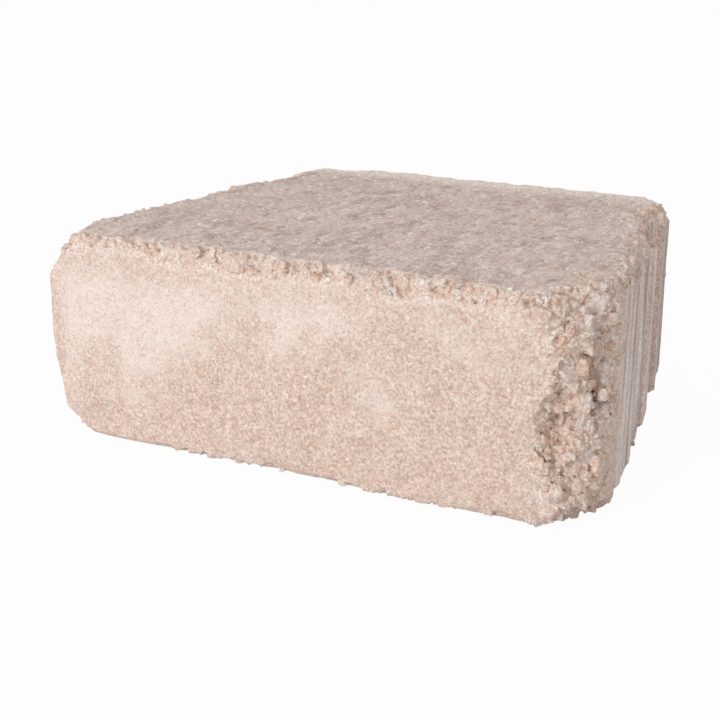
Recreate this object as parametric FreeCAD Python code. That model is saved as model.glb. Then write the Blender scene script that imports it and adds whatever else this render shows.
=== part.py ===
# A tumbled concrete retaining wall block, cast in one piece.
# Millimetres. X runs along the face, Y from the face to the tail, Z up.
# The origin is under the middle of the block's box, on the bed that it lies on.
import FreeCAD
import Part

import math
import os

from FreeCAD import Vector

# Overall sizes: a nominal 16 x 12 x 6 inch block, narrower at its tail and slightly under its height
FACE_WIDTH = 406.0
TAIL_WIDTH = 310.0
DEPTH = 305.0
HEIGHT = 145.0

# Rounding of the upright corners. The right corner of the face is the most worn.
FACE_RIGHT_RADIUS = 50.0
FACE_LEFT_RADIUS = 10.0
TAIL_RIGHT_RADIUS = 20.0
TAIL_LEFT_RADIUS = 20.0

# Worn edges all round the two beds
TOP_EDGE_RADIUS = 14.0
BOTTOM_EDGE_RADIUS = 11.0

# Upright channel in each flank, measured along the flank from the face
CHANNEL_START = 208.0
CHANNEL_WIDTH = 56.0
CHANNEL_DEPTH = 8.0
CHANNEL_SLOPE = 6.0

# Corners knocked off in the tumbler: the length that each loses along its three edges
CHIP_FACE_LEFT_BOTTOM = 42.0
CHIP_FACE_RIGHT_BOTTOM = 44.0
CHIP_FACE_LEFT_TOP = 42.0
CHIP_FACE_RIGHT_TOP = 50.0
CHIP_TAIL_RIGHT_TOP = 34.0
CHIP_TAIL_RIGHT_BOTTOM = 34.0
CHIP_TAIL_LEFT_BOTTOM = 34.0

# A hollow broken out of the face's right corner, and the upright cleft behind it that widens
# towards the top. Both are placed from the sharp corner, at the level of the lower bed.
HOLLOW_CENTRE = Vector(-25, -2, 69)
HOLLOW_RADIUS = 18.0
CLEFT_FOOT = Vector(-15, 23, 80)
CLEFT_FOOT_RADIUS = 3.0
CLEFT_TOP_RADIUS = 6.5

# How far a cutting tool reaches past the solid that it cuts, and a corner's tool as a
# multiple of the corner's length
OVERRUN = 20.0
CHIP_REACH = 4.0

FACE_Y = -DEPTH / 2
TAIL_Y = DEPTH / 2
UP = Vector(0, 0, 1)


def plan_corners():
    """The sharp plan corners, anticlockwise from the left end of the face."""
    return [
        Vector(-FACE_WIDTH / 2, FACE_Y, 0),
        Vector(FACE_WIDTH / 2, FACE_Y, 0),
        Vector(TAIL_WIDTH / 2, TAIL_Y, 0),
        Vector(-TAIL_WIDTH / 2, TAIL_Y, 0),
    ]


def unit(start, end):
    return end.sub(start).normalize()


def rounded_outline(points, radii):
    """A closed wire through the points, with a tangent arc of its own radius at each."""
    stretches = []
    for i, corner in enumerate(points):
        before = unit(corner, points[i - 1])
        after = unit(corner, points[(i + 1) % len(points)])
        half = before.getAngle(after) / 2
        setback = radii[i] / math.tan(half)
        inward = before.add(after).normalize()
        centre = corner.add(inward * (radii[i] / math.sin(half)))
        start = corner.add(before * setback)
        end = corner.add(after * setback)
        middle = centre.add(unit(centre, corner) * radii[i])
        stretches.append((start, middle, end))
    edges = []
    for i, (start, middle, end) in enumerate(stretches):
        edges.append(Part.Arc(start, middle, end).toShape())
        following = stretches[(i + 1) % len(stretches)][0]
        edges.append(Part.LineSegment(end, following).toShape())
    return Part.Wire(edges)


def body():
    """The block with rounded upright corners and worn bed edges."""
    radii = [FACE_LEFT_RADIUS, FACE_RIGHT_RADIUS, TAIL_RIGHT_RADIUS, TAIL_LEFT_RADIUS]
    outline = rounded_outline(plan_corners(), radii)
    solid = Part.Face(outline).extrude(UP * HEIGHT)
    top_rim = [edge for edge in solid.Edges if edge.BoundBox.ZMin > HEIGHT / 2]
    solid = solid.makeFillet(TOP_EDGE_RADIUS, top_rim)
    bottom_rim = [edge for edge in solid.Edges if edge.BoundBox.ZMax < HEIGHT / 2]
    return solid.makeFillet(BOTTOM_EDGE_RADIUS, bottom_rim)


def channel(corner, tail_corner):
    """The tool that cuts the upright channel in the flank between two plan corners."""
    along = unit(corner, tail_corner)
    inward = Vector(along.y, -along.x, 0)
    if inward.x * corner.x > 0:
        inward = inward.negative()

    def place(distance, depth, level):
        return corner.add(along * distance).add(inward * depth).add(UP * level)

    # The sloping sides run on past the flank, at the same slope
    spread = CHANNEL_SLOPE * OVERRUN / CHANNEL_DEPTH
    end = CHANNEL_START + CHANNEL_WIDTH
    section = [
        place(CHANNEL_START - spread, -OVERRUN, -OVERRUN),
        place(CHANNEL_START + CHANNEL_SLOPE, CHANNEL_DEPTH, -OVERRUN),
        place(end - CHANNEL_SLOPE, CHANNEL_DEPTH, -OVERRUN),
        place(end + spread, -OVERRUN, -OVERRUN),
    ]
    tool = Part.Face(Part.makePolygon(section + section[:1]))
    tool = tool.extrude(UP * (HEIGHT + 2 * OVERRUN))

    # The beds are worn at the channel's floor too
    for bed, inside, wear in ((0.0, 1, BOTTOM_EDGE_RADIUS), (HEIGHT, -1, TOP_EDGE_RADIUS)):
        bevel = [
            place(CHANNEL_START, CHANNEL_DEPTH, bed + inside * wear),
            place(CHANNEL_START, CHANNEL_DEPTH + wear, bed),
            place(CHANNEL_START, CHANNEL_DEPTH + wear, bed - inside * OVERRUN),
            place(CHANNEL_START, -OVERRUN, bed - inside * OVERRUN),
            place(CHANNEL_START, -OVERRUN, bed + inside * wear),
        ]
        wedge = Part.Face(Part.makePolygon(bevel + bevel[:1]))
        tool = tool.fuse(wedge.extrude(along * CHANNEL_WIDTH))
    return tool


def chip(corner, beside, behind, at_top, size):
    """The tool that takes a corner off, through one point on each of its three edges."""
    level = HEIGHT if at_top else 0.0
    vertical = UP.negative() if at_top else Vector(UP)
    apex = Vector(corner.x, corner.y, level)
    ends = [
        apex.add(unit(corner, beside) * size),
        apex.add(unit(corner, behind) * size),
        apex.add(vertical * size),
    ]
    normal = ends[1].sub(ends[0]).cross(ends[2].sub(ends[0])).normalize()
    if normal.dot(apex.sub(ends[0])) < 0:
        normal = normal.negative()
    side = CHIP_REACH * size
    tool = Part.makeBox(side, side, side, Vector(-side / 2, -side / 2, 0))
    centre = ends[0].add(ends[1]).add(ends[2]) * (1.0 / 3)
    tool.Placement = FreeCAD.Placement(centre, FreeCAD.Rotation(UP, normal))
    return tool


def hollow(corner):
    """The ball that leaves the hollow."""
    return Part.makeSphere(HOLLOW_RADIUS, corner.add(HOLLOW_CENTRE))


def cleft(corner):
    """The cone that leaves the cleft, from its foot to above the top bed."""
    length = HEIGHT + OVERRUN - CLEFT_FOOT.z
    return Part.makeCone(CLEFT_FOOT_RADIUS, CLEFT_TOP_RADIUS, length, corner.add(CLEFT_FOOT), UP)


def centred(solid):
    """The same solid, with the middle of its underside at the origin."""
    box = solid.optimalBoundingBox(False, False)
    middle = Vector((box.XMin + box.XMax) / 2, (box.YMin + box.YMax) / 2, box.ZMin)
    return solid.translated(middle.negative())


def block():
    face_left, face_right, tail_right, tail_left = plan_corners()
    tools = [
        channel(face_right, tail_right),
        channel(face_left, tail_left),
        chip(face_left, face_right, tail_left, False, CHIP_FACE_LEFT_BOTTOM),
        chip(face_right, face_left, tail_right, False, CHIP_FACE_RIGHT_BOTTOM),
        chip(face_left, face_right, tail_left, True, CHIP_FACE_LEFT_TOP),
        chip(face_right, face_left, tail_right, True, CHIP_FACE_RIGHT_TOP),
        chip(tail_right, tail_left, face_right, True, CHIP_TAIL_RIGHT_TOP),
        chip(tail_right, tail_left, face_right, False, CHIP_TAIL_RIGHT_BOTTOM),
        chip(tail_left, tail_right, face_left, False, CHIP_TAIL_LEFT_BOTTOM),
        hollow(face_right),
        cleft(face_right),
    ]
    solid = body()
    for tool in tools:
        solid = solid.cut(tool)
    return centred(solid.Solids[0])


os.makedirs("parts", exist_ok=True)
wall_block = block()
wall_block.exportStep("parts/wall_block.step")
print("valid", wall_block.isValid(), "litres", round(wall_block.Volume / 1e6, 3))
print("box", wall_block.optimalBoundingBox(False, False))
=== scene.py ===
import math

import bpy
import numpy as np
import openvdb
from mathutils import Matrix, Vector


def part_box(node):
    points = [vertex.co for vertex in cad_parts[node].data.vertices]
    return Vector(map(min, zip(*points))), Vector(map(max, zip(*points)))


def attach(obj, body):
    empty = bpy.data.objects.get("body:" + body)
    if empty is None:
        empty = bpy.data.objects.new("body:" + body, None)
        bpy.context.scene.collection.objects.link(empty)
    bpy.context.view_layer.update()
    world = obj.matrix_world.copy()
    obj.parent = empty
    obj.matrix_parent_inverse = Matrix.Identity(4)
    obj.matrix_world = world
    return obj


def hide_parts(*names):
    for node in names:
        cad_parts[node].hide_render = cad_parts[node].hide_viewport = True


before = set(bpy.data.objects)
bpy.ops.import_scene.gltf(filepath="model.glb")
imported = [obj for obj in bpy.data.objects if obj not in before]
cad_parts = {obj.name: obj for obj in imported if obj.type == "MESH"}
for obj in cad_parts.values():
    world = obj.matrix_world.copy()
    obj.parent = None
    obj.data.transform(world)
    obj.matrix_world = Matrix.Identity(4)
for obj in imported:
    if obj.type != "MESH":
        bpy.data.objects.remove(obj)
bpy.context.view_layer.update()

MM = 0.001
NODE = "wall_block"
rng = np.random.default_rng(604)

# Draws that depend on where the surface lies, kept apart so that the noise never changes with them
chance_rng = np.random.default_rng(12)

# The grid that the block is worked out on
GRID = 1.0
MARGIN = 6.0

# Radii of the worn upright corners and bed edges
CORNER_WEAR = {"face_left": 10.0, "face_right": 52.0, "tail_right": 20.0, "tail_left": 22.0}
TOP_WEAR = 15.0
BOTTOM_WEAR = 8.5

# A stretch of the face's bottom edge that is less worn: its place from the left, its reach,
# and the share of the wear that it is spared
FIRM_PLACE = 60.0
FIRM_REACH = 45.0
FIRM_SHARE = 0.6

# A dip worn in the tail's top edge: its place from the tail's left end, its reach, and its wear
DIP_PLACE = 34.0
DIP_REACH = 26.0
DIP_WEAR = 16.0

# How far broken concrete stands out at most: the tumbler knocks off what stands further
MOST_PROUD = 0.9

# Wear that leaves the skin whole: more at the left end and at the tail, less at the broken corner
SPARED = 1.0
SPARED_LEFT = 2.4
SPARED_TAIL = 9.0
SPARED_LESS = 3.5

# Facets of the broken surface, large and small: how far apart, how much tilted, and how far stepped
CHUNKS = (13.0, 0.18, 0.8)
CHIPS = (5.0, 0.22, 0.3)

# The hollow of the broken corner and its size. Places at this corner are measured in from the right
# end of the face, back from the face, and up from the bed below.
HOLLOW = (18.0, -1.0, 67.0)
HOLLOW_SIZE = (18.0, 17.0, 23.0)

# Where the break looks freshest, in the hollow
FRESH = (18.0, 10.0, 63.0)

# The shallow valley down the corner's upper half, and the smaller hollows, each with its size
VALLEY = (-3.0, 27.0, 122.0)
VALLEY_SIZE = (13.0, 13.0, 32.0)
SMALL_HOLLOWS = (
    ((25.0, 2.0, 66.0), (8, 6, 12)),
    ((32.0, 0.0, 46.0), (9, 5, 6)),
    ((16.0, 4.0, 26.0), (5, 5, 8)),
)

# The cleft in the valley is a row of scoops, each a little larger than the one below and further out:
# the foot, how many there are, how far apart, their shift, the first one's size, its growth, its height
CLEFT_FOOT = (9.5, 23, 78)
CLEFT_COUNT = 13
CLEFT_STEP = 6
CLEFT_LEAN = 0.15
CLEFT_SIZE = (3.2, 3.5)
CLEFT_GROWTH = (0.35, 0.3)
CLEFT_HEIGHT = 7

# About how much narrower the tail is than the box at each side
TAIL_INSET = 40.0

# Upright channel in each flank, close to the CAD solid's, measured back from the face
CHANNEL_START = 206.0
CHANNEL_WIDTH = 54.0
CHANNEL_DEPTH = 8.0
CHANNEL_SLOPE = 6.0

# Upright ribs that the mould dragged along each flank: distance back from the face, and depth
DRAG_LINES = (
    (0, 0.0), (30, 0.8), (46, 1.2), (60, 2.2), (76, 0.4), (88, 1.6), (110, 0.0), (120, 0.0),
    (124, 2.4), (146, 2.6), (151, 0.4), (157, 2.4), (165, 1.4), (170, 2.8), (184, 2.8), (187, 0.0),
    (204, 0.2),
    (262, 1.2), (276, 2.0), (284, 1.0), (305, 1.8),
)

# Stones in the broken surface: how many, their least and greatest radius, and how deep they sit,
# as a share of the radius between
STONES = (
    (5200, 1.1, 2.2, 0.68),
    (2600, 1.8, 3.4, 0.74),
    (280, 3.2, 5.2, 0.8),
)

# Pits of the top bed: how many, and their least and greatest size
PIT_COUNT = 420
PIT_LEAST = (1.4, 1.2, 1.2)
PIT_GREATEST = (4.5, 3.0, 2.4)

# Separate stones and crumbs: their least and greatest radius, how deep they sit as a share of it,
# how finely the balls that they are cut from are divided, and how many flats cut each ball
SET_STONES = {"count": 360, "least": 1.8, "greatest": 3.6, "sunk": 0.75, "divided": 2, "flats": 9}
CRUMBS = {"count": 8000, "least": 0.6, "greatest": 1.2, "sunk": 0.8, "divided": 1, "flats": 4}
SHAPE_COUNT = 24

BODY_TRIANGLES = 196_000

# Creases sharper than this many degrees stay sharp
CREASE = 30

# A stone's tone is read this far under the surface, and not where faces are longer than this
TONE_DEPTH = 0.4
LONGEST_TINTED = 3.5

# How open the surface is, is read this far out from it: the shader paints shade where it is not open
OPEN_NEAR = 2.5
OPEN_FAR = 7.0

# The space between the parts of the body's map, and how far a stone of radius 1 reaches in its cell
UV_GAP = 4.0
UV_CELL_FILL = 0.38


def to_mm(corner):
    return np.array(corner) / MM


LOW, HIGH = (to_mm(c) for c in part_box(NODE))
FACE_Y, TAIL_Y = LOW[1], HIGH[1]
HEIGHT = HIGH[2]


def flank(side):
    """The plane of a flank of the CAD solid: its outward normal and its offset, in mm."""
    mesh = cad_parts[NODE].data
    normals = np.empty(len(mesh.polygons) * 3)
    centres = np.empty(len(mesh.polygons) * 3)
    areas = np.empty(len(mesh.polygons))
    mesh.polygons.foreach_get("normal", normals)
    mesh.polygons.foreach_get("center", centres)
    mesh.polygons.foreach_get("area", areas)
    normals = normals.reshape(-1, 3)
    offsets = (normals * centres.reshape(-1, 3)).sum(axis=1) / MM
    facing = (side * normals[:, 0] > 0.9) & (abs(normals[:, 2]) < 0.01)
    widest = offsets[facing][np.argmax(areas[facing])]
    same = facing & (abs(offsets - widest) < 0.1)
    normal = (normals[same] * areas[same, None]).sum(axis=0)
    return normal / np.linalg.norm(normal), widest


# The grid's lines along each axis, and the same as coordinates that combine over the whole grid
X = np.arange(LOW[0] - MARGIN, HIGH[0] + MARGIN, GRID, dtype=np.float32)
Y = np.arange(LOW[1] - MARGIN, HIGH[1] + MARGIN, GRID, dtype=np.float32)
Z = np.arange(LOW[2] - MARGIN, HIGH[2] + MARGIN, GRID, dtype=np.float32)
ORIGIN = np.array([X[0], Y[0], Z[0]])
GX, GY, GZ = X[:, None, None], Y[None, :, None], Z[None, None, :]


def lattice_weights(points, size):
    """How much each point of an axis takes from each of a row of knots that far apart."""
    place = (points - points[0]) / size + rng.uniform(0, 1)
    knot = np.floor(place).astype(int)
    blend = place - knot
    blend = blend * blend * (3 - 2 * blend)
    weights = np.zeros((len(points), knot[-1] + 2), np.float32)
    rows = np.arange(len(points))
    weights[rows, knot] = 1 - blend
    weights[rows, knot + 1] = blend
    return weights


def noise(size, amount=1.0):
    """Smooth noise over the grid, from -amount to amount. size is its lumps' size, or one for each axis."""
    sizes = np.broadcast_to(size, 3)
    along = [lattice_weights(axis, s) for axis, s in zip((X, Y, Z), sizes)]
    knots = rng.uniform(-amount, amount, [w.shape[1] for w in along]).astype(np.float32)
    return np.einsum("ia,jb,kc,abc->ijk", *along, knots, optimize=True)


def ramp(value, start, end):
    """0 before start, 1 after end, and smooth in between."""
    t = np.clip((value - start) / (end - start), 0, 1)
    return t * t * (3 - 2 * t)


def rounded(a, b, radius):
    """The distance outside two surfaces, with the edge between them rounded."""
    corner = np.hypot(np.maximum(a + radius, 0), np.maximum(b + radius, 0)) - radius
    return np.where((a > -radius) & (b > -radius), corner, np.maximum(a, b))


def flank_relief(along):
    """How far a flank lies inside its plane: the channel, and the ribs that the mould dragged."""
    end = CHANNEL_START + CHANNEL_WIDTH
    channel = ramp(along, CHANNEL_START, CHANNEL_START + CHANNEL_SLOPE)
    channel = channel * (1 - ramp(along, end - CHANNEL_SLOPE, end))
    places, depths = zip(*DRAG_LINES)
    waver = noise((500, 500, 40), 1.5)
    return CHANNEL_DEPTH * channel + np.interp(along + waver, places, depths).astype(np.float32)


def plan_distance():
    """Distance outside the block's plan, with worn corners. Also the same with sharp corners."""
    along = GY - FACE_Y + 0 * GX
    ends = {"face": FACE_Y - GY + 0 * GZ, "tail": GY - TAIL_Y + 0 * GZ}
    sides = {}
    for name, side in (("right", 1), ("left", -1)):
        normal, offset = flank(side)
        plane = normal[0] * GX + normal[1] * GY - offset
        sides[name] = (plane + flank_relief(along)).astype(np.float32)
    uneven = noise(30, 0.12)
    worn = sharp = np.full(uneven.shape, -1e3, np.float32)
    for end, flat in ends.items():
        for name, side in sides.items():
            wear = CORNER_WEAR[end + "_" + name] * (1 + uneven)
            worn = np.maximum(worn, rounded(flat, side, wear))
            sharp = np.maximum(sharp, np.maximum(flat, side))
    return worn.astype(np.float32), sharp


def plane_through(points):
    """A plane through three points, its normal pointing away from the block's middle."""
    a, b, c = (np.array(p, float) for p in points)
    normal = np.cross(b - a, c - a)
    normal /= np.linalg.norm(normal)
    middle = (LOW + HIGH) / 2
    if normal @ (a - middle) < 0:
        normal = -normal
    return normal, normal @ a


def cut(solid, points, rough):
    """Takes off what lies beyond a rough plane through three points."""
    normal, offset = plane_through(points)
    beyond = normal[0] * GX + normal[1] * GY + normal[2] * GZ - offset
    return np.maximum(solid, (beyond + rough).astype(np.float32))


def window(centre, reach):
    """The part of the grid within reach of a point, as slices, and its coordinates."""
    low = np.clip(((centre - reach) - ORIGIN) // GRID, 0, None).astype(int)
    high = np.ceil(((centre + reach) - ORIGIN) / GRID).astype(int) + 1
    part = tuple(slice(a, b) for a, b in zip(low, high))
    return part, GX[part[0]] - centre[0], GY[:, part[1]] - centre[1], GZ[:, :, part[2]] - centre[2]


def scoop(solid, centre, radii, rough=None):
    """Takes an ellipsoid out of the block, with an uneven rim where rough is given."""
    centre, radii = np.array(centre, float), np.array(radii, float)
    part, dx, dy, dz = window(centre, radii + 2 * GRID)
    inside = np.sqrt((dx / radii[0]) ** 2 + (dy / radii[1]) ** 2 + (dz / radii[2]) ** 2)
    hole = (1 - inside) * radii.min()
    if rough is not None:
        hole = hole + rough[part]
    solid[part] = np.maximum(solid[part], hole)


def set_stones(solid, tone, places, sizes):
    """Sets angular stones in the block, each with a tone by chance, which tone keeps where it shows."""
    for centre, size in zip(places, sizes):
        part, dx, dy, dz = window(centre, np.full(3, 1.4 * size))
        flats = chance_rng.normal(size=(9, 3))
        flats /= np.linalg.norm(flats, axis=1)[:, None]
        reaches = size * chance_rng.uniform(0.6, 1.0, 9)
        outside = np.full(solid[part].shape, -size, np.float32)
        for flat, reach in zip(flats, reaches):
            np.maximum(outside, flat[0] * dx + flat[1] * dy + flat[2] * dz - reach, out=outside)
        wins = outside < solid[part]
        solid[part] = np.where(wins, outside, solid[part])
        tone[part] = np.where(wins | (outside < 0.7), chance_rng.uniform(0.05, 1), tone[part])


def facets(near, spacing, tilt, step):
    """Noise of flat facets about that far apart, each tilted and stepped by chance, where near holds."""
    value = np.zeros(near.shape, np.float32)
    nearest = np.full(near.shape, (1.5 * spacing) ** 2, np.float32)
    count = int(near.sum() * GRID ** 3 / spacing ** 3)
    chosen = chance_rng.choice(np.flatnonzero(near), size=count, replace=False)
    places = ORIGIN + np.array(np.unravel_index(chosen, near.shape)).T * GRID
    reach = np.full(3, 1.5 * spacing)
    slopes = chance_rng.normal(0, tilt, (count, 3))
    steps = chance_rng.uniform(-step, step, count)
    for centre, slope, offset in zip(places, slopes, steps):
        part, dx, dy, dz = window(centre, reach)
        away = dx * dx + dy * dy + dz * dz
        closer = away < nearest[part]
        plane = slope[0] * dx + slope[1] * dy + slope[2] * dz + offset
        nearest[part] = np.where(closer, away, nearest[part])
        value[part] = np.where(closer, plane, value[part])
    return value


def spots(field, where, count):
    """Random grid points near the zero of a field, where a mask holds, in mm."""
    near = np.flatnonzero((abs(field) < GRID / 2) & where)
    chosen = chance_rng.choice(near, size=min(count, len(near)), replace=False)
    index = np.array(np.unravel_index(chosen, field.shape)).T
    return ORIGIN + index * GRID


def at_corner(place):
    """A place at the right end of the face, on the grid."""
    inset, back, level = place
    return HIGH[0] - inset, FACE_Y + back, level


def cleave(solid, width):
    """Cuts the cleft of the broken corner, which widens towards the top."""
    x, y, level = at_corner(CLEFT_FOOT)
    for i in range(CLEFT_COUNT):
        place = (x + CLEFT_LEAN * i, y, level + CLEFT_STEP * i)
        across, back = (width * (size + more * i) for size, more in zip(CLEFT_SIZE, CLEFT_GROWTH))
        scoop(solid, place, (across, back, CLEFT_HEIGHT))


def knocks():
    """The planes that took off the crest, the corners and the most worn edges, by three points each."""
    left, right, y, top = LOW[0], HIGH[0], FACE_Y, HEIGHT
    tail_right = right - TAIL_INSET
    return [
        # the crest between the face and the top bed
        [(left, y, top - 13), (right, y, top - 17), (left, y + 6, top)],
        # the corners of the face: bottom left, bottom right, top left, top right
        [(left + 36, y, 0), (left + 8, y, 22), (left + 10, y + 46, 0)],
        [(left + 13, y, 18), (left + 2, y, 66), (left + 13, y + 46, 4)],
        [(right - 34, y, 0), (right - 2, y, 40), (right - 8, y + 46, 0)],
        [(left + 34, y, top), (left, y, top - 38), (left + 9, y + 40, top)],
        [(right - 60, y, top), (right, y, top - 30), (right - 8, y + 44, top)],
        # the left top edge, and the right one
        [(left + 20, y + 10, top), (left + 2, y + 10, top - 24), (left + 48, y + 230, top)],
        [(right - 7, y + 20, top), (right + 4, y + 20, top - 14), (tail_right - 10, TAIL_Y - 20, top)],
        # the right corners of the tail: top and bottom
        [(tail_right - 33, TAIL_Y, top), (tail_right, TAIL_Y, top - 32), (tail_right, TAIL_Y - 32, top)],
        [(tail_right - 30, TAIL_Y, 0), (tail_right - 1, TAIL_Y, 24), (tail_right, TAIL_Y - 38, 0)],
    ]


def worn_block():
    """The distance outside the worn block, before its breaks are roughened, and the same unworn."""
    plan, sharp_plan = plan_distance()
    beds = np.maximum(-GZ, GZ - HEIGHT)
    sharp = np.maximum(sharp_plan, beds)
    sharp = np.maximum(sharp, np.maximum(LOW[0] - GX, GX - HIGH[0]))
    firm = FIRM_SHARE * np.exp(-((GX - LOW[0] - FIRM_PLACE) / FIRM_REACH) ** 2)
    wear = np.where(GZ > HEIGHT / 2, TOP_WEAR, BOTTOM_WEAR * (1 - firm))
    wear = wear * (1 + noise(34, 0.25) + noise(12, 0.2))
    tail_left = LOW[0] + TAIL_INSET
    dip = np.exp(-((GX - tail_left - DIP_PLACE) / DIP_REACH) ** 2) * ramp(GY, 60, 140) * (GZ > HEIGHT / 2)
    wear = np.maximum(wear, 2) + DIP_WEAR * dip
    solid = rounded(plan, beds + 0 * GX, wear.astype(np.float32))

    rough = noise(26, 2.0) + noise(10, 1.2)
    for points in knocks():
        solid = cut(solid, points, rough)
    scoop(solid, at_corner(HOLLOW), HOLLOW_SIZE, 0.3 * rough)
    for place, size in SMALL_HOLLOWS:
        scoop(solid, at_corner(place), size)
    scoop(solid, at_corner(VALLEY), VALLEY_SIZE, 0.6 * rough)
    cleave(solid, 1.0)
    return solid, sharp


def breakage(lost):
    """How broken the surface is, from 0 to 1, where wear took that much off the unworn block."""
    spared = SPARED + noise(30, 1.2)

    # The left end, between the beds
    left_end = SPARED_LEFT * ramp(-GX, 150, 180) * ramp(GZ, 12, 34)
    spared = spared + left_end * (1 - ramp(GZ, HEIGHT - 34, HEIGHT - 16))

    # The top edge of the tail and of the left flank's back half
    back = np.maximum(ramp(GY, 128, 145) + 0 * GX, ramp(GY, 60, 120) * ramp(-GX, 60, 100))
    spared = spared + SPARED_TAIL * back * ramp(GZ, 60, 110)

    # The flank beside the broken corner
    beside = SPARED_LESS * ramp(GX, 160, 175) * ramp(GY, FACE_Y + 12, FACE_Y + 22)
    spared = spared - beside * (1 - ramp(GY, FACE_Y + 54, FACE_Y + 68))
    return ramp(lost - spared + noise(7, 0.6), -0.6, 1.6)


def block_field():
    """The distance outside the block, how broken its surface is, and the tone of its stones."""
    solid, sharp = worn_block()
    broken = breakage(solid - sharp)
    band = (abs(solid) < 6) & (broken > 0.02)
    proud = facets(band, *CHUNKS) + facets(band, *CHIPS) + noise(12, 0.8)
    proud = np.maximum(proud, -MOST_PROUD)
    solid = solid + broken * (proud + noise(3.2, 0.2) + 0.8)

    # Drag marks and pits of the top bed
    top = ramp(GZ, HEIGHT - 5, HEIGHT - 1) * (1 - broken)
    solid = solid + top * (noise((7, 24, 40), 0.4) + noise((4, 8, 10), 0.5) + 0.3)
    corners = (LOW[0], FACE_Y, HEIGHT), (HIGH[0], TAIL_Y, HEIGHT)
    for centre in rng.uniform(*corners, (PIT_COUNT, 3)):
        scoop(solid, centre, rng.uniform(PIT_LEAST, PIT_GREATEST))

    # Stones of the mix that stand in the broken surface, the small ones first
    tone = np.zeros(solid.shape, np.float32)
    stony = noise(16) + noise(6, 0.6) + 0.7 * ramp(GX, 130, 165) > -0.35
    stony = stony & (broken > 0.5)
    for count, small, large, depth in STONES:
        sizes = small + (large - small) * rng.uniform(0, 1, count) ** 1.5
        places = spots(solid + depth * (small + large) / 2, stony, count)
        set_stones(solid, tone, places, sizes)

    # Few stones are left in the cleft
    cleave(solid, 0.85)

    solid = solid + noise(60, 0.5) + noise(8, 0.15)
    return np.maximum(solid, sharp).astype(np.float32), broken, tone


def sample(field, points):
    """The field's value at each point, in mm, blended from the grid points round it."""
    place = np.clip((points - ORIGIN) / GRID, 0, np.array(field.shape) - 1.001)
    index = place.astype(int)
    blend = place - index
    total = np.zeros(len(points))
    for dx in (0, 1):
        for dy in (0, 1):
            for dz in (0, 1):
                weight = 1.0
                for axis, d in enumerate((dx, dy, dz)):
                    weight = weight * (blend[:, axis] if d else 1 - blend[:, axis])
                total += weight * field[index[:, 0] + dx, index[:, 1] + dy, index[:, 2] + dz]
    return total


def new_mesh(name, points, faces):
    """A mesh object from points in mm and faces that all have as many corners."""
    mesh = bpy.data.meshes.new(name)
    corners = faces.shape[1]
    mesh.vertices.add(len(points))
    mesh.vertices.foreach_set("co", (points * MM).astype(np.float32).ravel())
    mesh.loops.add(faces.size)
    mesh.loops.foreach_set("vertex_index", faces.astype(np.int32).ravel())
    mesh.polygons.add(len(faces))
    mesh.polygons.foreach_set("loop_start", np.arange(0, faces.size, corners, dtype=np.int32))
    mesh.update(calc_edges=True)
    mesh.validate()
    made = bpy.data.objects.new(name, mesh)
    bpy.context.scene.collection.objects.link(made)
    return made


def mesh_points(mesh):
    points = np.empty(len(mesh.vertices) * 3, np.float32)
    mesh.vertices.foreach_get("co", points)
    return points.reshape(-1, 3) / MM


def mesh_normals(mesh):
    normals = np.empty(len(mesh.vertices) * 3, np.float32)
    mesh.vertices.foreach_get("normal", normals)
    return normals.reshape(-1, 3)


def set_attribute(mesh, name, values):
    attribute = mesh.attributes.new(name, "FLOAT", "POINT")
    attribute.data.foreach_set("value", values.astype(np.float32))


def edge_reach(mesh, points):
    """The longest edge at each point of a mesh."""
    ends = np.empty(len(mesh.edges) * 2, np.int32)
    mesh.edges.foreach_get("vertices", ends)
    ends = ends.reshape(-1, 2)
    lengths = np.linalg.norm(points[ends[:, 0]] - points[ends[:, 1]], axis=1)
    reach = np.zeros(len(points))
    np.maximum.at(reach, ends.ravel(), np.repeat(lengths, 2))
    return reach


def make_body(solid, broken, tone):
    """The block's mesh, with how broken and how open its surface is at each point, and its stones."""
    volume = openvdb.FloatGrid()
    volume.copyFromArray(solid)
    points, _, quads = volume.convertToPolygons(isovalue=0.0, adaptivity=0.0)
    body = new_mesh("block_surface", ORIGIN + points * GRID, quads)
    thin = body.modifiers.new("fewer", "DECIMATE")
    thin.ratio = BODY_TRIANGLES / (2 * len(quads))
    thin.use_collapse_triangulate = True
    bpy.context.view_layer.objects.active = body
    bpy.ops.object.modifier_apply(modifier=thin.name)
    mesh = body.data
    mesh.shade_smooth()
    mesh.set_sharp_from_angle(angle=math.radians(CREASE))
    at = mesh_points(mesh)
    normals = mesh_normals(mesh)
    tones = sample(tone, at - TONE_DEPTH * normals)
    tones[edge_reach(mesh, at) > LONGEST_TINTED] = 0
    set_attribute(mesh, "broken", sample(broken, at))
    set_attribute(mesh, "tone", tones)
    set_attribute(mesh, "flank", ramp(abs(normals[:, 0]), 0.75, 0.93))
    set_attribute(mesh, "bed", ramp(normals[:, 2], 0.75, 0.95))
    near = sample(solid, at + OPEN_NEAR * normals) / OPEN_NEAR
    far = sample(solid, at + OPEN_FAR * normals) / OPEN_FAR
    set_attribute(mesh, "open", np.clip(0.5 * near + 0.5 * far, 0, 1.5))
    return body


def icosphere(subdivisions):
    """Points and triangles of a ball of radius 1."""
    bpy.ops.mesh.primitive_ico_sphere_add(subdivisions=subdivisions, radius=1)
    ball = bpy.context.object
    mesh = ball.data
    points = mesh_points(mesh) * MM
    faces = np.empty(len(mesh.polygons) * 3, np.int32)
    mesh.polygons.foreach_get("vertices", faces)
    bpy.data.objects.remove(ball)
    return points, faces.reshape(-1, 3)


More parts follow.
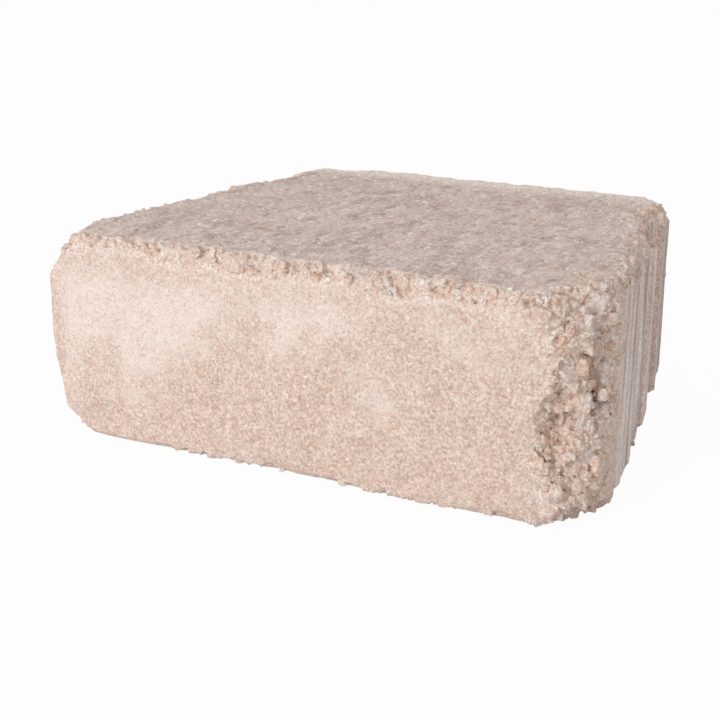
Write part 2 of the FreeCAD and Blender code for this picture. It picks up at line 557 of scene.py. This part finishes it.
def stone_shapes(points, count, flats):
    """Crushed stones: balls cut by random flats, and stretched."""
    shapes = []
    for _ in range(count):
        shape = points.copy()
        for _ in range(flats):
            normal = rng.normal(size=3)
            normal /= np.linalg.norm(normal)
            beyond = np.maximum(shape @ normal - rng.uniform(0.45, 0.8), 0)
            shape -= beyond[:, None] * normal
        shapes.append(shape * rng.uniform([0.85, 0.6, 0.45], [1.2, 0.9, 0.7]))
    return np.array(shapes)


def random_turns(count):
    """Random rotation matrices."""
    q = rng.normal(size=(count, 4))
    q /= np.linalg.norm(q, axis=1)[:, None]
    w, x, y, z = q.T
    return np.array([
        [1 - 2 * (y * y + z * z), 2 * (x * y - z * w), 2 * (x * z + y * w)],
        [2 * (x * y + z * w), 1 - 2 * (x * x + z * z), 2 * (y * z - x * w)],
        [2 * (x * z - y * w), 2 * (y * z + x * w), 1 - 2 * (x * x + y * y)],
    ]).transpose(2, 0, 1)


def broken_spots(body, count):
    """Random places on the broken surface, with the surface's direction there."""
    mesh = body.data
    triangles = np.empty(len(mesh.polygons) * 3, np.int32)
    mesh.polygons.foreach_get("vertices", triangles)
    triangles = triangles.reshape(-1, 3)
    areas = np.empty(len(mesh.polygons), np.float32)
    mesh.polygons.foreach_get("area", areas)
    weight = np.empty(len(mesh.vertices), np.float32)
    mesh.attributes["broken"].data.foreach_get("value", weight)
    chance = areas * np.clip(weight[triangles].mean(axis=1) - 0.3, 0, 1)
    chosen = rng.choice(len(triangles), size=count, p=chance / chance.sum())
    shares = rng.dirichlet((1, 1, 1), size=count)
    at = (mesh_points(mesh)[triangles[chosen]] * shares[:, :, None]).sum(axis=1)
    normals = (mesh_normals(mesh)[triangles[chosen]] * shares[:, :, None]).sum(axis=1)
    return at, normals / np.linalg.norm(normals, axis=1)[:, None]


def set_uv(mesh, places):
    """Gives a mesh its map for baking: a place from 0 to 1 for each corner of each face."""
    layer = mesh.uv_layers.new(name="OFBake")
    layer.data.foreach_set("uv", places.astype(np.float32).ravel())


def unwrap_body(mesh):
    """Lays each face flat along the axis that it faces most: beds, then ends, then flanks."""
    width, depth, height = HIGH - LOW
    second, third = depth + UV_GAP, depth + height + 2 * UV_GAP
    charts = np.array([
        [(0, third), (depth + UV_GAP, third)],
        [(0, second), (width + UV_GAP, second)],
        [(0, 0), (width + UV_GAP, 0)],
    ]) + UV_GAP
    across = np.array([1, 0, 0])
    up = np.array([2, 2, 1])
    normals = np.empty(len(mesh.polygons) * 3, np.float32)
    mesh.polygons.foreach_get("normal", normals)
    normals = np.repeat(normals.reshape(-1, 3), 3, axis=0)
    corners = np.empty(len(mesh.loops), np.int32)
    mesh.loops.foreach_get("vertex_index", corners)
    points = (mesh_points(mesh) - LOW)[corners]
    axis = abs(normals).argmax(axis=1)
    rows = np.arange(len(points))
    chart = charts[axis, (normals[rows, axis] > 0).astype(int)]
    flat = np.stack([points[rows, across[axis]], points[rows, up[axis]]], axis=1)
    set_uv(mesh, (chart + flat) / (2 * width + 3 * UV_GAP))


def make_stones(name, body, count, least, greatest, sunk, divided, flats):
    """One mesh of many separate stones, set in the broken surface."""
    points, faces = icosphere(divided)
    shapes = stone_shapes(points, SHAPE_COUNT, flats)
    sizes = rng.uniform(least, greatest, count)
    at, normals = broken_spots(body, count)
    chosen = shapes[rng.integers(len(shapes), size=count)]
    turned = np.einsum("nij,nkj->nki", random_turns(count), chosen) * sizes[:, None, None]
    at = at - normals * (sizes * sunk)[:, None]
    placed = turned + at[:, None, :]
    all_points = np.clip(placed.reshape(-1, 3), LOW, HIGH)
    steps = np.arange(count)[:, None, None] * len(points)
    all_faces = (faces[None] + steps).reshape(-1, 3)
    stones = new_mesh(name, all_points, all_faces)
    set_attribute(stones.data, "tone", np.repeat(rng.uniform(0, 1, count), len(points)))

    # Each stone has its own cell of the map
    cells = math.ceil(math.sqrt(count))
    row, column = np.divmod(np.arange(count), cells)
    cell = np.stack([column, row], axis=1)[:, None, :] + 0.5
    flat = (cell + chosen[:, :, :2] * UV_CELL_FILL) / cells
    set_uv(stones.data, flat.reshape(-1, 2)[all_faces.ravel()])
    return stones


def colour(red, green, blue):
    """A colour given as 8-bit sRGB, for a shader."""
    values = []
    for value in (red, green, blue):
        value = value / 255
        values.append(value / 12.92 if value <= 0.04045 else ((value + 0.055) / 1.055) ** 2.4)
    return (*values, 1.0)


class Nodes:
    """Makes the nodes of a material or of the world, and links them as they are made."""

    def __init__(self, owner):
        self.owner = owner
        owner.use_nodes = True
        self.tree = owner.node_tree
        self.tree.nodes.clear()

    def add(self, kind, inputs=None, output=0, **settings):
        """One output of a new node. Each input is a value or another node's output."""
        made = self.tree.nodes.new(kind)
        for name, value in settings.items():
            setattr(made, name, value)
        for name, value in (inputs or {}).items():
            socket = made.inputs[name]
            if isinstance(value, bpy.types.NodeSocket):
                self.tree.links.new(value, socket)
            else:
                socket.default_value = value
        return made.outputs[output]

    def place(self):
        return self.add("ShaderNodeTexCoord", output="Object")

    def attribute(self, name):
        return self.add("ShaderNodeAttribute", attribute_name=name, output="Fac")

    def noise(self, at, scale, detail=2.0, roughness=0.5, output="Fac"):
        inputs = {"Vector": at, "Scale": scale, "Detail": detail, "Roughness": roughness}
        return self.add("ShaderNodeTexNoise", inputs, output)

    def warp(self, at, scale, reach):
        """The place, shifted by noise of that scale by up to half the reach, in metres."""
        shift = self.noise(at, scale, output="Color")
        inputs = {0: shift, 1: (reach,) * 3, 2: at}
        return self.add("ShaderNodeVectorMath", inputs, operation="MULTIPLY_ADD")

    def cells(self, at, scale, output="Distance", **settings):
        return self.add("ShaderNodeTexVoronoi", {"Vector": at, "Scale": scale}, output, **settings)

    def stretch(self, at, scale):
        """The place, scaled along each axis, which stretches a noise the other way."""
        return self.add("ShaderNodeMapping", {"Vector": at, "Scale": scale})

    def part(self, at, axis):
        """One coordinate of the place: 0 for X, 1 for Y, 2 for Z."""
        return self.add("ShaderNodeSeparateXYZ", {"Vector": at}, output=axis)

    def chance(self, at, scale):
        """A number from 0 to 1 that is the same over each cell of about 1 / scale metres."""
        return self.add("ShaderNodeSeparateColor", {"Color": self.cells(at, scale, "Color")})

    def shade(self, base, amount):
        """The colour made lighter or darker by an amount about 1."""
        return self.add("ShaderNodeVectorMath", {0: base, "Scale": amount}, operation="SCALE")

    def choose(self, value, shades):
        """One of a row of colours, in even steps of a value from 0 to 1."""
        picker = self.tree.nodes.new("ShaderNodeValToRGB")
        picker.color_ramp.interpolation = "CONSTANT"
        elements = picker.color_ramp.elements
        while len(elements) < len(shades):
            elements.new(0.5)
        for i, shade in enumerate(shades):
            elements[i].position = i / len(shades)
            elements[i].color = colour(*shade)
        self.tree.links.new(value, picker.inputs["Fac"])
        return picker.outputs["Color"]

    def remap(self, value, low, high, to_low=0.0, to_high=1.0):
        inputs = {"Value": value, "From Min": low, "From Max": high, "To Min": to_low, "To Max": to_high}
        return self.add("ShaderNodeMapRange", inputs)

    def math(self, operation, *values):
        """The values combined one after another."""
        result = values[0]
        for value in values[1:]:
            result = self.add("ShaderNodeMath", {0: result, 1: value}, operation=operation)
        return result

    def mix(self, factor, a, b):
        """Colour a, or b where the factor is 1."""
        return self.add("ShaderNodeMix", {0: factor, 6: a, 7: b}, 2, data_type="RGBA")

    def finish(self, base, height, distance):
        """Matte, with the height as bump of that many metres."""
        bump = self.add("ShaderNodeBump", {"Height": height, "Distance": distance, "Strength": 1.0})
        inputs = {"Base Color": base, "Normal": bump}
        finish = {"Roughness": ROUGHNESS, "Specular IOR Level": SPECULAR}
        self.show(self.add("ShaderNodeBsdfPrincipled", {**inputs, **finish}))
        return self.owner

    def seen(self):
        """1 for a ray that shows the background: from the camera, mirrored or let through."""
        path = self.tree.nodes.new("ShaderNodeLightPath")
        rays = [path.outputs[name] for name in ("Is Camera Ray", "Is Glossy Ray", "Is Transmission Ray")]
        return self.math("MAXIMUM", *rays)

    def show(self, shader, kind="ShaderNodeOutputMaterial"):
        output = self.tree.nodes.new(kind)
        self.tree.links.new(shader, output.inputs["Surface"])


def material(name):
    """The nodes of a new material."""
    return Nodes(bpy.data.materials.new(name))


# Colours of the cast skin
SKIN = colour(228, 207, 195)
SMOOTH_SKIN = colour(234, 219, 210)
BROWN_SKIN = colour(211, 183, 168)
PALE_SKIN = colour(243, 230, 222)

# Colours of the beds
BED = colour(230, 217, 211)
WORN = colour(216, 188, 174)
STAIN = colour(178, 158, 150)
SCUFF = colour(240, 226, 219)
# painted shade in the dimples of the beds
DIMPLE_SHADE = colour(140, 118, 108)
TAIL_EDGE = colour(250, 234, 223)

# Colours of the flanks: the mould's streaks, partly painted shade and light of its ribs
DARK_STREAK_AND_SHADE = colour(176, 160, 153)
PALE_STREAK_AND_LIGHT = colour(246, 232, 225)

# Colours of the broken concrete
DARK_MORTAR = colour(234, 202, 182)
PALE_MORTAR = colour(251, 236, 226)
GAP = colour(190, 152, 130)
FRESH_BREAK = colour(240, 190, 160)

# Colours of the finest marks, and of the painted shade in pores and crevices
DARK_GRAIN = colour(186, 148, 126)
PALE_GRAIN = colour(250, 238, 230)
PORE_SHADE = colour(150, 120, 102)
CREVICE_SHADE = colour(205, 160, 135)
DUST = colour(222, 198, 183)

# Colours that stones and sand grains take by chance, as 8-bit sRGB
STONE_SHADES = [
    (242, 228, 219), (230, 206, 192), (250, 240, 234), (220, 186, 166), (236, 222, 214), (236, 204, 182),
    (226, 198, 182), (246, 228, 217), (238, 214, 202), (232, 220, 214),
]
SAND_SHADES = [
    (246, 230, 220), (226, 198, 182), (250, 240, 233), (204, 164, 142), (236, 216, 204), (222, 184, 160),
    (242, 220, 208), (194, 154, 134), (238, 210, 194), (214, 184, 168),
]

# The finish of all concrete, and the depth of its bump and of the stones', in metres
ROUGHNESS = 0.93
SPECULAR = 0.25
CONCRETE_BUMP = 0.0011
STONE_BUMP = 0.0006


def skin(n, at):
    """The cast skin: smooth and pale at the upper left of the face, browner and sandier elsewhere."""
    lean = n.math("ADD", n.math("MULTIPLY", n.part(at, 0), -0.8), n.math("MULTIPLY", n.part(at, 2), 2.2))
    cloud = n.math("ADD", n.noise(at, 13, 4, 0.62), n.math("ADD", lean, -0.17))
    under_crest = n.remap(n.part(at, 2), 0.108, 0.126, 1.0, 0.35)
    off_end = n.remap(n.part(at, 0), -0.196, -0.176)
    off_bed = n.math("SUBTRACT", 1.0, n.attribute("bed"))
    smooth = n.math("MULTIPLY", n.remap(cloud, 0.46, 0.62), under_crest, off_end, off_bed)
    sandy = n.math("SUBTRACT", 1.0, n.math("MULTIPLY", smooth, 0.75))
    base = n.mix(smooth, SKIN, SMOOTH_SKIN)
    brown = n.remap(n.noise(at, 60, 8, 0.8), 0.45, 0.57, 0, 0.9)
    base = n.mix(n.math("MULTIPLY", brown, sandy), base, BROWN_SKIN)
    pale = n.remap(n.noise(at, 190, 5, 0.8), 0.52, 0.64, 0, 0.85)
    base = n.mix(pale, base, PALE_SKIN)
    sand = n.choose(n.chance(n.warp(at, 600, 0.002), 640), SAND_SHADES)
    base = n.mix(n.math("MULTIPLY", sandy, 0.4), base, sand)
    return base, sandy


def beds(n, at, base):
    """The beds: greyer, worn, stained, scuffed and dimpled, with painted shade in the dimples, and a pale
    edge at the tail.
    """
    bed = n.attribute("bed")
    base = n.mix(n.math("MULTIPLY", bed, 0.45), base, BED)
    worn = n.remap(n.noise(at, 34, 5, 0.7), 0.5, 0.62, 0, 0.6)
    stain = n.remap(n.noise(n.stretch(at, (1, 0.5, 1)), 80, 8, 0.82), 0.47, 0.62, 0, 0.85)
    scuff = n.remap(n.noise(n.stretch(at, (1, 0.4, 1)), 150, 6, 0.82), 0.51, 0.6, 0, 1.0)
    for amount, shade in ((worn, WORN), (stain, STAIN), (scuff, SCUFF)):
        base = n.mix(n.math("MULTIPLY", bed, amount), base, shade)
    bent = n.stretch(n.warp(at, 300, 0.004), (1, 0.5, 1))
    # Painted shade in the dimples: they are darkened as well as sunk by the bump
    dimple = n.remap(n.cells(bent, 120), 0.0, 0.25, 0.9, 0.0)
    dimple = n.math("MULTIPLY", dimple, n.remap(n.chance(bent, 120), 0.24, 0.2), bed)
    base = n.mix(dimple, base, DIMPLE_SHADE)
    tail_edge = n.remap(n.part(at, 1), 0.106, 0.128, 0, 0.95)
    base = n.mix(n.math("MULTIPLY", bed, tail_edge), base, TAIL_EDGE)
    scratches = n.noise(n.stretch(at, (1, 0.45, 1)), 300, 5, 0.75)
    height = n.math("SUBTRACT", n.math("MULTIPLY", scratches, bed, 1.7), dimple)
    return base, height


def flanks(n, at, base):
    """The flanks, streaked by the mould, the streaks' dark and pale bands partly painted shade and light of
    the ribs.
    """
    flank = n.attribute("flank")
    streaks = n.noise(n.stretch(at, (1, 1, 0.04)), 110, 5, 0.78)
    # Mould streaks, with painted shade and light of the ribs in the same bands
    streak = n.mix(n.remap(streaks, 0.41, 0.55), DARK_STREAK_AND_SHADE, PALE_STREAK_AND_LIGHT)
    base = n.mix(n.math("MULTIPLY", flank, 0.9), base, streak)
    height = n.math("MULTIPLY", streaks, flank, 0.5)
    return base, height


def broken_concrete(n, at, base):
    """Broken concrete, most orange in the hollow, and the stones in it."""
    broken = n.attribute("broken")
    bent = n.warp(at, 350, 0.004)
    lump = n.chance(bent, 420)
    rubble = n.mix(n.remap(n.noise(at, 90, 3, 0.65), 0.38, 0.62), DARK_MORTAR, PALE_MORTAR)
    rubble = n.mix(0.5, rubble, n.choose(lump, SAND_SHADES))
    gap = n.remap(n.cells(bent, 420, feature="DISTANCE_TO_EDGE"), 0.0, 0.09, 0.6, 0.0)
    gap = n.math("MULTIPLY", gap, n.remap(n.noise(at, 240, 2, 0.6), 0.46, 0.6))
    rubble = n.mix(gap, rubble, GAP)
    base = n.mix(n.math("MULTIPLY", broken, 0.9), base, rubble)
    ends = {0: n.warp(at, 60, 0.02), 1: Vector(at_corner(FRESH)) * MM}
    away = n.add("ShaderNodeVectorMath", ends, 1, operation="DISTANCE")
    fresh = n.math("MULTIPLY", n.remap(away, 0.024, 0.014), broken, 0.55)
    base = n.mix(fresh, base, FRESH_BREAK)
    tone = n.attribute("tone")
    stone = n.math("MULTIPLY", n.remap(tone, 0.04, 0.06), 0.85)
    base = n.mix(stone, base, n.choose(tone, STONE_SHADES))
    lumps = n.math("SUBTRACT", n.math("MULTIPLY", lump, 0.7), n.cells(bent, 420), gap)
    height = n.math("MULTIPLY", lumps, n.math("ADD", broken, 0.15), 0.35)
    return base, height


def grains(n, at, base, sandy):
    """Sand grains all over, with painted shade in the pores and in crevices where the surface is not open.
    """
    fine = n.remap(n.noise(at, 480, 3, 0.75), 0.32, 0.68, -1, 1)
    coarse = n.remap(n.noise(at, 240, 2, 0.6), 0.35, 0.65, -1, 1)
    grain = n.math("ADD", n.math("MULTIPLY", fine, 0.21), n.math("MULTIPLY", coarse, 0.07))
    base = n.shade(base, n.math("ADD", n.math("MULTIPLY", grain, sandy), 1.0))
    chance = n.chance(at, 950)
    base = n.mix(n.remap(chance, 0.0, 0.25, 0.45, 0.0), base, DARK_GRAIN)
    base = n.mix(n.remap(chance, 0.75, 1.0, 0.0, 0.45), base, PALE_GRAIN)
    # Painted shade in the pores: they are darkened as well as sunk by the bump
    pore = n.remap(n.cells(at, 160), 0.0, 0.12, 0.7, 0.0)
    pore = n.math("MULTIPLY", pore, n.remap(n.chance(at, 160), 0.12, 0.08))
    base = n.mix(pore, base, PORE_SHADE)
    # Painted shade: darker where the surface is not open, in crevices and hollows
    crevice_shade = n.remap(n.attribute("open"), 0.0, 0.6, 0.15, 0.0)
    base = n.mix(crevice_shade, base, CREVICE_SHADE)
    grit = n.math("ADD", n.math("MULTIPLY", sandy, 0.8), 0.35)
    height = n.math("SUBTRACT", n.math("MULTIPLY", n.noise(at, 520, 4, 0.72), grit), pore)
    return base, height


def concrete():
    """The body's material. Each part gives its colour, and as bump its relief too fine for the mesh."""
    n = material("concrete")
    at = n.place()
    base, sandy = skin(n, at)
    base, scratches = beds(n, at, base)
    base, streaks = flanks(n, at, base)
    base, lumps = broken_concrete(n, at, base)
    base, grit = grains(n, at, base, sandy)
    return n.finish(base, n.math("ADD", grit, lumps, scratches, streaks), CONCRETE_BUMP)


def crushed_stone(name):
    """The material of the separate stones, dusty and each in its own shade."""
    n = material(name)
    at = n.place()
    dust = n.remap(n.noise(at, 300, 3, 0.6), 0.4, 0.65, 0, 0.7)
    base = n.mix(dust, n.choose(n.attribute("tone"), STONE_SHADES), DUST)
    fine = n.remap(n.noise(at, 480, 3, 0.75), 0.32, 0.68, 0.9, 1.1)
    return n.finish(n.shade(base, fine), n.noise(at, 600, 3, 0.6), STONE_BUMP)


# The floor, in metres, its own colour, and how white it shows to the camera: the rest keeps the shadow
FLOOR_SIZE = 12
FLOOR_COLOUR = (0.8, 0.8, 0.8, 1)
FLOOR_WHITE = 0.95
WHITE = (1, 1, 1, 1)

# The strength of the world's light, and a soft lamp in front of the face, in metres
WORLD_STRENGTH = 0.68
LAMP_SIZE = 1.3
LAMP_ENERGY = 57
LAMP_AT = (-1.05, -3.05, 1.65)
LAMP_AIM = (0, 0, 0.07)


def lay_floor():
    """A plain pale floor that shows white to the camera and keeps the shadow."""
    bpy.ops.mesh.primitive_plane_add(size=FLOOR_SIZE, location=(0, 0, 0))
    floor = bpy.context.object
    floor.name = "floor"
    n = material("floor")
    diffuse = n.add("ShaderNodeBsdfDiffuse", {"Color": FLOOR_COLOUR})
    white = n.add("ShaderNodeEmission", {"Color": WHITE, "Strength": 1.0})
    share = n.math("MULTIPLY", n.seen(), FLOOR_WHITE)
    n.show(n.add("ShaderNodeMixShader", {0: share, 1: diffuse, 2: white}))
    floor.data.materials.append(n.owner)


def light():
    """Even light from the world, which itself shows white, and the lamp."""
    world = bpy.data.worlds.new("studio")
    bpy.context.scene.world = world
    n = Nodes(world)
    strength = n.remap(n.seen(), 0.0, 1.0, WORLD_STRENGTH, 1.0)
    background = n.add("ShaderNodeBackground", {"Color": WHITE, "Strength": strength})
    n.show(background, "ShaderNodeOutputWorld")

    data = bpy.data.lights.new("key", "AREA")
    data.size = LAMP_SIZE
    data.energy = LAMP_ENERGY
    lamp = bpy.data.objects.new("key", data)
    lamp.location = LAMP_AT
    aim = Vector(LAMP_AIM) - lamp.location
    lamp.rotation_euler = aim.to_track_quat("-Z", "Y").to_euler()
    bpy.context.scene.collection.objects.link(lamp)


# The camera, worked out from the block's corners in the photograph, which is 720 pixels wide
PHOTO_WIDTH = 720
FOCAL_PIXELS = 1329.0
CAMERA_AT = (403.9, -838.8, 350.8)
CAMERA_TURN = 27.44
CAMERA_DIP = 18.76


def place_camera():
    data = bpy.data.cameras.new("camera")
    camera = bpy.data.objects.new("camera", data)
    data.sensor_width = 36.0
    data.lens = data.sensor_width * FOCAL_PIXELS / PHOTO_WIDTH
    data.clip_start = 0.05
    camera.location = Vector(CAMERA_AT) * MM
    turn, dip = math.radians(CAMERA_TURN), math.radians(CAMERA_DIP)
    forward = Vector((-math.sin(turn) * math.cos(dip), math.cos(turn) * math.cos(dip), -math.sin(dip)))
    camera.rotation_euler = forward.to_track_quat("-Z", "Y").to_euler()
    bpy.context.scene.collection.objects.link(camera)
    bpy.context.scene.camera = camera


def main():
    bpy.context.scene.view_settings.view_transform = "Standard"
    solid, broken, tone = block_field()
    body = make_body(solid, broken, tone)
    unwrap_body(body.data)
    body.data.materials.append(concrete())

    stones = make_stones("stones", body, **SET_STONES)
    stones.data.materials.append(crushed_stone("stone"))
    crumbs = make_stones("crumbs", body, **CRUMBS)
    crumbs.data.materials.append(crushed_stone("crumb"))
    for piece in (body, stones, crumbs):
        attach(piece, "root")
        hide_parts(NODE)
    lay_floor()
    light()
    place_camera()


main()
